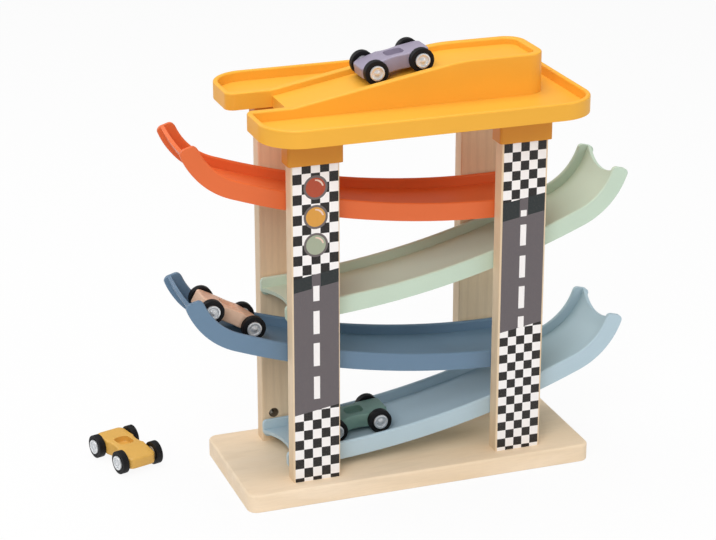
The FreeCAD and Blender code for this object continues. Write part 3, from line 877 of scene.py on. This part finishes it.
@dataclass(frozen=True)
class Rubber:
    """Black tyre rubber with a trace of dust."""

    name: str
    colour: Colour

    def material(self) -> bpy.types.Material:
        """Build the material.

        Returns:
            The material.
        """
        recipe = Recipe(self.name)
        where = recipe.place()
        dust = recipe.noise(where, scale=220.0, detail=3.0)
        grit = recipe.noise(where, scale=1800.0)
        tone = recipe.tint(self.colour, dust, 0.45, 0.75, 0.35, shade(self.colour, 2.2))
        recipe.surface(tone, dust, (0.3, 0.7), (0.48, 0.62))
        recipe.bump(grit, strength=0.12, depth=0.2 * MM)
        return recipe.settle(Specular_IOR_Level=0.22)


@dataclass(frozen=True)
class Metal:
    """Bright metal, drawn or plated."""

    name: str
    colour: Colour
    roughness: float
    metallic: float = 1.0

    def material(self) -> bpy.types.Material:
        """Build the material.

        Returns:
            The material.
        """
        recipe = Recipe(self.name)
        haze = recipe.noise(recipe.place(), scale=260.0, detail=3.0)
        lines = recipe.noise(recipe.place((14.0, 1.0, 14.0)), scale=420.0)
        tone = recipe.tint(self.colour, haze, 0.35, 0.7, 1.0, shade(self.colour, 0.88))
        recipe.surface(tone, haze, (0.3, 0.7), (self.roughness - 0.05, self.roughness + 0.07))
        recipe.bump(lines, strength=0.06, depth=0.1 * MM)
        return recipe.settle(Metallic=self.metallic)

@dataclass(frozen=True)
class PaleFloor:
    """Studio floor that the camera sees as near white, with the object's shadow kept."""

    name: str = "pale_floor"
    glow: float = 0.92
    grey: float = 0.86

    def material(self) -> bpy.types.Material:
        """Build the material.

        Returns:
            The material.
        """
        recipe = Recipe(self.name)
        recipe.tree.nodes.remove(recipe.coat)
        seen = recipe.node("LightPath")
        matt = recipe.node("BsdfDiffuse", Color=(self.grey, self.grey, self.grey))
        white = recipe.node("Emission", Color=(1.0, 1.0, 1.0), Strength=1.0)
        share = recipe.node("Math")
        share.operation = "MAXIMUM"
        recipe.link(seen.outputs["Is Camera Ray"], share.inputs[0])
        recipe.link(seen.outputs["Is Glossy Ray"], share.inputs[1])
        scaled = recipe.node("Math")
        scaled.operation = "MULTIPLY"
        recipe.link(share.outputs[0], scaled.inputs[0])
        scaled.inputs[1].default_value = self.glow
        mix = recipe.node("MixShader")
        recipe.link(scaled.outputs[0], mix.inputs[0])
        recipe.link(matt.outputs[0], mix.inputs[1])
        recipe.link(white.outputs[0], mix.inputs[2])
        recipe.link(mix.outputs[0], recipe.output.inputs["Surface"])
        return recipe.material


class Palette:
    """Every finish of the toy, made once."""

    def __init__(self) -> None:
        """Build the materials."""
        self.board = Wood("base_wood", ink(255, 233, 204), ink(250, 224, 189), Axis.X).material()
        # The back left post's spare socket gets painted shade
        self.post = Wood(
            "post_wood", ink(240, 217, 185), ink(230, 203, 168), Axis.Z, socket=SPARE_SOCKET
        ).material()
        # The deck's collars below its underside get painted shade
        self.deck = Moulding("deck_plastic", ink(245, 179, 62), gloss=0.25, foot=DECK_UNDERSIDE).material()
        self.tracks = {
            "top_track": Moulding("red_plastic", ink(230, 112, 60)).material(),
            "second_track": Moulding("mint_plastic", ink(203, 222, 203)).material(),
            "third_track": Moulding("slate_plastic", ink(108, 135, 160)).material(),
            "bottom_track": Moulding("sky_plastic", ink(186, 208, 219)).material(),
        }
        self.paints = {
            "violet": Paint("violet_paint", ink(157, 148, 168)).material(),
            "peach": Paint("peach_paint", ink(237, 199, 171)).material(),
            "green": Paint("green_paint", ink(119, 152, 141)).material(),
            "yellow": Paint("yellow_paint", ink(229, 178, 84)).material(),
        }
        self.tyre = Rubber("tyre_rubber", (0.006, 0.006, 0.007)).material()
        self.hub = Metal("hub_plastic", (0.80, 0.82, 0.84), roughness=0.30, metallic=0.55).material()
        self.axle = Metal("axle_steel", (0.56, 0.56, 0.57), roughness=0.28).material()
        self.screw = Metal("screw_steel", (0.62, 0.60, 0.55), roughness=0.36).material()
        self.road_inks = {
            Tone.WHITE: Ink("white_ink", ink(253, 249, 247)).material(),
            Tone.BLACK: Ink("black_ink", ink(22, 17, 17)).material(),
            Tone.ROAD: Ink("road_ink", ink(101, 94, 97)).material(),
            Tone.BAND: Ink("band_ink", ink(30, 38, 40)).material(),
        }
        self.ring_ink = Ink("lamp_ring_ink", ink(108, 100, 99)).material()
        self.glint_ink = Ink("lamp_glint_ink", ink(238, 208, 190)).material()
        self.lamp_inks = {
            "red": Ink("red_lamp_ink", ink(178, 74, 44)).material(),
            "amber": Ink("amber_lamp_ink", ink(222, 158, 64)).material(),
            "green": Ink("green_lamp_ink", ink(168, 176, 152)).material(),
        }
        self.floor = PaleFloor().material()


# The set: camera, lamps and floor

@dataclass(frozen=True)
class SoftLamp:
    """One square area lamp: its place, its side in metres and its power in watts."""

    name: str
    place: tuple[float, float, float]
    size: float
    power: float


@dataclass
class Studio:
    """The plain pale floor, the soft lamps and the camera."""

    eye: tuple[float, float, float] = (-0.5822, -1.5329, 0.7855)
    aim: tuple[float, float, float] = (-0.0345, 0.0, 0.1678)
    lens: float = 110.9
    floor_size: float = 14.0
    lamp_aim: tuple[float, float, float] = (0.0, 0.0, 0.15)
    room_light: float = 0.45
    lamps: tuple[SoftLamp, ...] = (
        SoftLamp("key_lamp", (-1.00, -1.38, 1.50), 1.0, 17.5),
        SoftLamp("top_lamp", (-0.10, 0.10, 1.75), 1.3, 15.5),
        SoftLamp("fill_lamp", (1.45, -1.25, 0.85), 1.2, 7.5),
        SoftLamp("back_lamp", (-1.1, 1.5, 1.2), 1.2, 7.0),
    )

    def build(self, palette: Palette) -> None:
        """Set up the camera, the lamps, the world and the floor.

        Args:
            palette: The finishes.
        """
        self.add_camera()
        for lamp in self.lamps:
            self.add_lamp(lamp)
        self.light_world()
        self.lay_floor(palette)

    def add_camera(self) -> None:
        """Put the camera where the photograph was taken from."""
        lens = bpy.data.cameras.new("photo_camera")
        lens.lens = self.lens
        lens.clip_start, lens.clip_end = 0.05, 50.0
        camera = bpy.data.objects.new("photo_camera", lens)
        bpy.context.scene.collection.objects.link(camera)
        camera.location = self.eye
        camera.rotation_euler = self.facing(self.eye, self.aim)
        bpy.context.scene.camera = camera

    @staticmethod
    def facing(place: Sequence[float], aim: Sequence[float]) -> Euler:
        """The turn that lets a lamp or the camera at a place look at a point."""
        return (Vector(aim) - Vector(place)).to_track_quat("-Z", "Y").to_euler()

    def add_lamp(self, lamp: SoftLamp) -> None:
        """Hang one lamp so that it faces the toy.

        Args:
            lamp: The lamp.
        """
        light = bpy.data.lights.new(lamp.name, "AREA")
        light.energy, light.size = lamp.power, lamp.size
        thing = bpy.data.objects.new(lamp.name, light)
        bpy.context.scene.collection.objects.link(thing)
        thing.location = lamp.place
        thing.rotation_euler = self.facing(lamp.place, self.lamp_aim)

    def light_world(self) -> None:
        """Make the surroundings a soft white that the camera sees as plain white."""
        world = bpy.data.worlds.new("soft_room")
        world.use_nodes = True
        bpy.context.scene.world = world
        tree = world.node_tree
        tree.nodes.clear()
        seen = tree.nodes.new("ShaderNodeLightPath")
        level = tree.nodes.new("ShaderNodeMapRange")
        level.inputs["To Min"].default_value = self.room_light
        level.inputs["To Max"].default_value = 1.0
        room = tree.nodes.new("ShaderNodeBackground")
        output = tree.nodes.new("ShaderNodeOutputWorld")
        tree.links.new(seen.outputs["Is Camera Ray"], level.inputs["Value"])
        tree.links.new(level.outputs[0], room.inputs["Strength"])
        tree.links.new(room.outputs[0], output.inputs[0])

    def lay_floor(self, palette: Palette) -> None:
        """Lay the floor under the base board and the yellow car.

        Args:
            palette: The finishes.
        """
        Workpiece.clear_selection()
        bpy.ops.mesh.primitive_plane_add(size=self.floor_size, location=(0, 0, 0))
        floor = Workpiece(bpy.context.object)
        floor.thing.name = "studio_floor"
        floor.dress(palette.floor)


# The printed front posts

@dataclass
class PostPrint:
    """The road, chequers and lamps printed on the front face of one post.

    Chequers stand in rows at the foot and at the head. The road and its dark band lie between them,
    with dashes up the middle. The dashes' ends and the lamps' centres are heights in mm.
    """

    post: str
    left: float
    face: float = -47.8 * MM
    width: float = 36.0 * MM
    columns: int = 5
    foot: float = 15.0 * MM
    foot_start: float = 18.2 * MM
    foot_row: float = 8.1 * MM
    foot_rows: int = 7
    foot_white_first: bool = True
    head_start: float = 188.0 * MM
    head_row: float = 8.1 * MM
    head_rows: int = 11
    head_white_first: bool = True
    band_low: float = 177.0 * MM
    slant: float = 5.6 * MM
    lane_width: float = 7.0 * MM
    dash_width: float = 5.0 * MM
    dashes: Pairs = ((84.5, 103.4), (112.2, 131.4), (138.9, 157.9), (166.1, 178.5))
    lamps: tuple[float, ...] = ()
    ring_radius: float = 9.6 * MM
    disc_radius: float = 7.8 * MM
    glint_radius: float = 6.4 * MM
    glint_inner: float = 6.3 * MM
    glint_shift: float = 0.9 * MM
    glint_start: float = 0.4 * MM
    thickness: float = 0.04 * MM
    thickness_kept: float = 0.9

    @property
    def right(self) -> float:
        """The print's right edge."""
        return self.left + self.width

    @property
    def middle(self) -> float:
        """The print's centre line."""
        return self.left + self.width / 2

    def build(self, palette: Palette) -> None:
        """Lay down the ink, one flat layer over another, and seat it on the post.

        Args:
            palette: The finishes.
        """
        foot_top = self.foot_start + self.foot_rows * self.foot_row
        head_low = self.head_start - self.head_row
        lane_left, lane_right = self.about_middle(self.lane_width)
        dash_left, dash_right = self.about_middle(self.dash_width)
        layers = [
            self.chequers("foot", self.foot_start, self.foot_row, self.foot_rows + 1, self.foot_white_first),
            self.chequers("cut_row", self.foot, self.foot_start - self.foot, 1, not self.foot_white_first),
            self.chequers("head", head_low, self.head_row, self.head_rows + 1, not self.head_white_first),
            self.slanted("road", self.left, self.right, foot_top, self.band_low, 1, Tone.ROAD),
            self.slanted("band", self.left, self.right, self.band_low, self.head_start, 2, Tone.BAND),
            self.slanted("lane", lane_left, lane_right, self.band_low, self.head_start, 3, Tone.ROAD),
        ]
        for number, (low, high) in enumerate(self.dashes):
            name = f"dash_{number}"
            layers.append(self.flat(name, dash_left, dash_right, low * MM, high * MM, 4, Tone.WHITE))
        for piece in layers:
            piece.dress(*palette.road_inks.values())
        sheet = layers[0].join(layers[1:]).name(self.post + "_print")
        self.thicken(sheet)
        sheet.place("stand", "post_wood")
        for height, (colour, glass) in zip(self.lamps, palette.lamp_inks.items()):
            self.lamp(colour, height * MM, glass, palette)

    def about_middle(self, width: float) -> tuple[float, float]:
        """The left and right edges of a stripe on the print's centre line."""
        return self.middle - width / 2, self.middle + width / 2

    def layer(self, level: int) -> float:
        """Where a layer of ink lies, each a little in front of the one under it."""
        return self.face - self.thickness * (level + 1)

    def chequers(self, name: str, low: float, row: float, rows: int, white_first: bool) -> Workpiece:
        """A field of chequers.

        Args:
            name: Name of the layer.
            low: Its lower edge.
            row: Height of a row.
            rows: How many rows.
            white_first: Whether the lowest left square is white.

        Returns:
            The flat piece, its squares given to the first two inks.
        """
        sheet = Workpiece.sheet(
            f"{self.post}_{name}", self.left, self.right, low, low + rows * row, self.layer(0),
            self.columns, rows,
        )
        column = self.width / self.columns
        for polygon in sheet.thing.data.polygons:
            across = int((polygon.center.x - self.left) / column)
            up = int((polygon.center.z - low) / row)
            is_white = (across + up) % 2 == (0 if white_first else 1)
            polygon.material_index = (Tone.WHITE if is_white else Tone.BLACK).value
        return sheet

    def flat(
        self, name: str, left: float, right: float, low: float, high: float, level: int, tone: Tone
    ) -> Workpiece:
        """One plain rectangle of ink.

        Args:
            name: Name of the layer.
            left: Least X.
            right: Most X.
            low: Least Z.
            high: Most Z.
            level: How many layers lie under it.
            tone: Its ink.

        Returns:
            The flat piece.
        """
        sheet = Workpiece.sheet(f"{self.post}_{name}", left, right, low, high, self.layer(level))
        return sheet.paint_all(tone.value)

    def slanted(
        self, name: str, left: float, right: float, low: float, high: float, level: int, tone: Tone
    ) -> Workpiece:
        """One rectangle of ink whose ends rise to the right with the road's slant.

        Args:
            name: Name of the layer.
            left: Least X.
            right: Most X.
            low: Least Z at the print's middle.
            high: Most Z there.
            level: How many layers lie under it.
            tone: Its ink.

        Returns:
            The flat piece.
        """
        sheet = self.flat(name, left, right, low, high, level, tone)
        for side in (left, right):
            rise = (side - self.middle) / self.width * self.slant
            sheet.slide(Part.POINT, lambda p, n, side=side: abs(p.x - side) < TINY, (0, 0, rise))
        return sheet

    def thicken(self, sheet: Workpiece) -> None:
        """Give flat ink the thickness of a print, a little less than the step between two layers.

        Args:
            sheet: The flat ink.
        """
        thing = sheet.only()
        step = thing.modifiers.new("ink", "SOLIDIFY")
        step.thickness = self.thickness * self.thickness_kept
        step.offset = -1.0
        bpy.ops.object.modifier_apply(modifier=step.name)

    def lamp(self, name: str, height: float, glass: bpy.types.Material, palette: Palette) -> None:
        """One printed traffic lamp: a grey ring, the coloured disc and its glint.

        Args:
            name: The lamp's colour.
            height: Its centre.
            glass: The disc's ink.
            palette: The finishes.
        """
        ring = self.disc("ring", height, 0, self.ring_radius)
        disc = self.disc("disc", height, 1, self.disc_radius)
        glint = self.glint(height)
        for number, piece in enumerate((ring, disc, glint)):
            piece.dress(palette.ring_ink, glass, palette.glint_ink).paint_all(number)
        ring.join((disc, glint)).name(f"{self.post}_{name}_lamp").place("stand", "post_wood")

    def disc(self, name: str, height: float, level: int, radius: float) -> Workpiece:
        """One round layer of ink on the print's centre line.

        Args:
            name: Name of the layer.
            height: Its centre.
            level: How many layers lie under it.
            radius: Its radius.

        Returns:
            The thin disc.
        """
        return Workpiece.rod(name, (self.middle, self.layer(level), height), radius, self.thickness, Axis.Y)

    def glint(self, height: float) -> Workpiece:
        """The thin bright arc at a lamp's upper right.

        Args:
            height: The lamp's centre.

        Returns:
            The arc.
        """
        arc = self.disc("glint", height, 2, self.glint_radius)
        x, y, reach = self.middle, self.layer(2), self.ring_radius
        inner = (x - self.glint_shift, y, height - self.glint_shift)
        arc.cut(Workpiece.rod("glint_inner", inner, self.glint_inner, 4 * self.thickness, Axis.Y))
        low, high = (x - reach, y - MM, height - reach), (x + reach, y + MM, height + reach)
        arc.cut(Workpiece.box("glint_left", low, (x - self.glint_start, high[1], high[2])))
        return arc.cut(Workpiece.box("glint_low", low, (high[0], high[1], height + self.glint_shift)))


# The cars

@dataclass
class CarMaker:
    """The car, modelled once on its own axes: X forwards, Z up, and the ground at Z 0.

    The steps of a wheel's face go from its edge to its middle. Each says in mm how far the face is
    inset, and how far what is inside then moves outwards.
    """

    length: float = 56.0 * MM
    width: float = 25.0 * MM
    low: float = 4.5 * MM
    tail: float = 16.5 * MM
    nose: float = 13.5 * MM
    bonnet: float = 20.0 * MM
    corner: float = 5.0 * MM
    edge: float = 1.5 * MM
    waist_depth: float = 1.6 * MM
    waist_half: float = 8.5 * MM
    waist_steps: int = 8
    cockpit: tuple[float, float, float] = (15.0 * MM, 13.0 * MM, 5.0 * MM)
    cockpit_front: float = 5.0 * MM
    cockpit_corner: float = 4.0 * MM
    cockpit_foot: float = 1.0 * MM
    wheelbase: float = 37.5 * MM
    wheel_radius: float = 9.5 * MM
    axle_bore: float = 1.58 * MM
    tyre_inner: float = 13.0 * MM
    tyre_outer: float = 18.4 * MM
    tyre_bore: float = 5.82 * MM
    tyre_edge: float = 0.9 * MM
    tyre_steps: Pairs = ((1.5, 0.0), (0.5, -0.25), (0.85, 0.0), (0.33, 0.25))
    hub_inner: float = 13.4 * MM
    hub_outer: float = 19.6 * MM
    hub_radius: float = 5.8 * MM
    hub_edge: float = 0.18 * MM
    hub_steps: Pairs = ((0.9, 0.0), (0.5, -1.1), (1.9, 0.0), (0.35, 0.7), (0.8, 0.35))

    def make_body(self) -> Workpiece:
        """Shape the wooden body from a block.

        Returns:
            The body on the car's own axes.
        """
        half, side = self.length / 2, self.width / 2
        body = Workpiece.box("car_body", (-half, -side, self.low), (half, side, self.tail))
        body.slice((half - self.bonnet, 0, 0), Axis.X)
        drop = self.nose - self.tail
        body.slide(Part.POINT, lambda p, n: p.x > half - TINY and p.z > self.tail - TINY, (0, 0, drop))
        body.round_edges(
            lambda p, run: abs(run.z) > 2 * TINY and run.xy.length < TINY and abs(p.x) > half - TINY,
            self.corner, segments=8,
        )
        self.draw_in_waist(body)
        body.soften(self.edge, segments=4, angle=38.0)
        self.hollow(body)
        for end in (-1, 1):
            centre = (end * self.wheelbase / 2, 0, self.wheel_radius)
            body.cut(Workpiece.rod("bore", centre, self.axle_bore, 2 * self.width, Axis.Y, sides=32))
        return body.tidy().smooth(angle=38.0)

    def draw_in_waist(self, body: Workpiece) -> None:
        """Draw both flanks in between the wheels, along the arc of a circle.

        Args:
            body: The body's block.
        """
        side = self.width / 2
        steps = self.waist_steps
        stations = [self.waist_half * (2 * step / steps - 1) for step in range(steps + 1)]
        radius = (self.waist_half ** 2 + self.waist_depth ** 2) / (2 * self.waist_depth)
        for x in stations:
            body.slice((x, 0, 0), Axis.X)
        for x in stations[1:-1]:
            depth = self.waist_depth - (radius - math.sqrt(radius ** 2 - x ** 2))
            body.stretch(
                Part.POINT, lambda p, n, x=x: abs(p.x - x) < TINY and abs(p.y) > side / 2,
                (1, (side - depth) / side, 1), (0, 0, 0),
            )

    def hollow(self, body: Workpiece) -> None:
        """Sink the cockpit, with round corners and a softly rounded floor.

        Args:
            body: The body.
        """
        long, wide, deep = self.cockpit
        floor, above = self.tail - deep, self.tail + 3 * MM
        tool = Workpiece.box(
            "cockpit", (self.cockpit_front - long, -wide / 2, floor), (self.cockpit_front, wide / 2, above)
        )
        tool.round_edges(lambda p, run: abs(run.z) > abs(run.x) + abs(run.y), self.cockpit_corner, segments=8)
        tool.round_edges(
            lambda p, run: p.z < floor + TINY and abs(run.z) < TINY, self.cockpit_foot, segments=4
        )
        body.cut(tool)

    @staticmethod
    def is_flank(p: Vector, n: Vector) -> bool:
        """Whether a face of a wheel lies square on the axle's line, on either side."""
        return abs(n.y) > SQUARE_ON and p.xz.length < TINY

    @staticmethod
    def is_face(p: Vector, n: Vector) -> bool:
        """Whether a face of a wheel lies square on the axle's line, on the outer side."""
        return n.y > SQUARE_ON and p.xz.length < TINY

    def make_tyre(self) -> Workpiece:
        """Turn a tyre: a soft tread, a rounded shoulder and a raised bead, round the axle line Y.

        Returns:
            The tyre at the left of the car, centred on the axle.
        """
        wide = self.tyre_outer - self.tyre_inner
        middle = (0, (self.tyre_outer + self.tyre_inner) / 2, 0)
        tyre = Workpiece.rod("tyre", middle, self.wheel_radius, wide, Axis.Y)
        for inwards, outwards in self.tyre_steps:
            tyre.inset(self.is_flank, inwards * MM, outwards * MM)
        tyre.cut(Workpiece.rod("tyre_bore", middle, self.tyre_bore, 2 * wide, Axis.Y))
        return tyre.soften(self.tyre_edge, segments=4, angle=60.0).tidy().smooth(angle=40.0)

    def make_hub(self) -> Workpiece:
        """Shape a bright hub: a rim, a dished face and a round boss over the axle's end.

        Returns:
            The hub at the left of the car, centred on the axle.
        """
        middle = (0, (self.hub_outer + self.hub_inner) / 2, 0)
        hub = Workpiece.rod("hub", middle, self.hub_radius, self.hub_outer - self.hub_inner, Axis.Y, sides=64)
        for inwards, outwards in self.hub_steps:
            hub.inset(self.is_face, inwards * MM, outwards * MM)
        return hub.soften(self.hub_edge, segments=2, angle=35.0).tidy().smooth(angle=40.0)


@dataclass
class Car:
    """One car at its place on the toy."""

    colour: str
    maker: CarMaker
    axles: dict[str, Vector]
    left: Vector

    @staticmethod
    def from_joints(colour: str, maker: CarMaker, joints: Sequence[dict]) -> "Car":
        """Find where a car stands from the axes that its wheels turn about.

        Args:
            colour: The car's colour.
            maker: The shapes of the car.
            joints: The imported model's joints.

        Returns:
            The car.
        """
        by_name = {joint["name"]: joint for joint in joints}
        spins = {end: by_name[f"{colour}_car_{end}_wheels_spin"] for end in ("front", "rear")}
        axles = {end: Vector(spin["pos_m"]) for end, spin in spins.items()}
        return Car(colour, maker, axles, Vector(spins["rear"]["axis"]).normalized())

    def matrix(self) -> Matrix:
        """Where the car's own axes lie in the frame."""
        forward = (self.axles["front"] - self.axles["rear"]).normalized()
        up = forward.cross(self.left).normalized()
        origin = (self.axles["front"] + self.axles["rear"]) / 2 - up * self.maker.wheel_radius
        turn = Matrix((forward, self.left, up)).transposed().to_4x4()
        return Matrix.Translation(origin) @ turn

    def build(self, palette: Palette, body: Workpiece, tyre: Workpiece, hub: Workpiece) -> None:
        """Copy the shapes into place, dress them and let them ride.

        Args:
            palette: The finishes.
            body: The body's shape.
            tyre: A tyre's shape.
            hub: A hub's shape.
        """
        stem = self.colour + "_car"
        place = self.matrix()
        shell = body.copy(stem + "_shell", place).dress(palette.paints[self.colour])
        shell.place(stem, self.colour + "_paint", stem + "_body")
        for end, side in (("front", 1), ("rear", -1)):
            axle = place @ Matrix.Translation((side * self.maker.wheelbase / 2, 0, self.maker.wheel_radius))
            flip = axle @ Matrix.Diagonal((1, -1, 1, 1))
            for shape, kind, finish, slot in (
                (tyre, "tyres", palette.tyre, "tyre_rubber"), (hub, "hubs", palette.hub, "hub_plastic"),
            ):
                pair = shape.copy(f"{stem}_{end}_{kind}_pair", axle)
                pair.join([shape.copy("twin", flip)]).dress(finish)
                pair.place(f"{stem}_{end}_wheels", slot, f"{stem}_{end}_{kind}")


def dress_frame(frame: dict, palette: Palette) -> None:
    """Give the nodes that stay as they are their finishes.

    Args:
        frame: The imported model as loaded.
        palette: The finishes.
    """
    finishes = {
        "base_board": palette.board, "base_screws": palette.screw, "top_deck": palette.deck, **palette.tracks,
    }
    for name, node in frame["nodes"].items():
        finish = finishes.get(name)
        if name.endswith("_post"):
            finish = palette.post
        elif name.endswith("_axle"):
            finish = palette.axle
        if finish is not None:
            node.data.materials.clear()
            node.data.materials.append(finish)


def main() -> None:
    """Load the frame and build the looks round it."""
    logging.basicConfig(level=logging.INFO, format="%(message)s")
    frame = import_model()
    palette = Palette()
    Studio().build(palette)
    bpy.context.scene.view_settings.view_transform = "Standard"
    dress_frame(frame, palette)

    PostPrint("front_left_post", -103.5 * MM, width=36.3 * MM, lamps=(257.4, 234.0, 211.6)).build(palette)
    PostPrint(
        "front_right_post", 67.8 * MM, width=35.5 * MM, band_low=214.5 * MM,
        foot_start=18.0 * MM, foot_row=7.36 * MM, foot_rows=14, foot_white_first=False,
        head_start=229.3 * MM, head_row=7.66 * MM, head_rows=6, head_white_first=True,
        dashes=((121.0, 130.3), (137.3, 155.9), (163.3, 181.7), (190.2, 207.6), (214.4, 219.5)),
    ).build(palette)

    maker = CarMaker()
    body, tyre, hub = maker.make_body().keep_place(CAR_PLACE), maker.make_tyre(), maker.make_hub()
    for colour in palette.paints:
        Car.from_joints(colour, maker, frame["joints"]).build(palette, body, tyre, hub)
    for tool in (body, tyre, hub):
        tool.discard()


if __name__ == "__main__":
    main()
